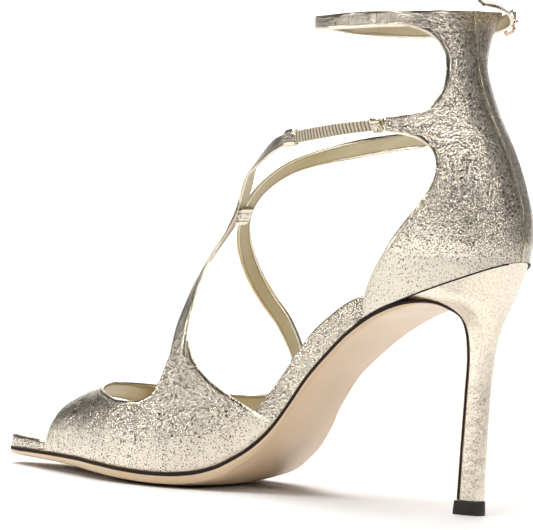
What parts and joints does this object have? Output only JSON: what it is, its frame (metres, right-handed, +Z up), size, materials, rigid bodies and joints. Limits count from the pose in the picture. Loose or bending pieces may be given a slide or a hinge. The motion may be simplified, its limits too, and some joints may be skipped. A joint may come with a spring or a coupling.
{
  "type": "strappy heeled sandal",
  "caption": "Open-toe stiletto sandal with crossed instep straps, a closed heel counter, a side elastic and a buckled ankle strap.",
  "frame": {"origin": "on the floor under the heel's top piece, on its flat tread", "axes": "+X to the toe, +Y to the inner (medial) side of this right shoe, +Z up from the floor it stands on"},
  "size_m": [0.2277, 0.0755, 0.1979],
  "materials": {
    "foiled_leather": "pale gold foil on crinkled nappa",
    "lining_leather": "smooth beige lining leather",
    "sole_leather": "polished nude sole leather with a painted dark edge",
    "top_piece": "moulded charcoal top piece",
    "elastic_web": "ribbed champagne elastic",
    "buckle_metal": "polished rose gold plating"
  },
  "bodies": {
    "root": {"outsole": "sole_leather", "footbed": "lining_leather", "heel": "foiled_leather", "top_lift": "top_piece", "upper": "foiled_leather", "elastic": "elastic_web", "elastic_sleeve_front": "foiled_leather", "elastic_sleeve_rear": "foiled_leather", "buckle_frame": "buckle_metal", "buckle_prong": "buckle_metal"}
  },
  "joints": []
}
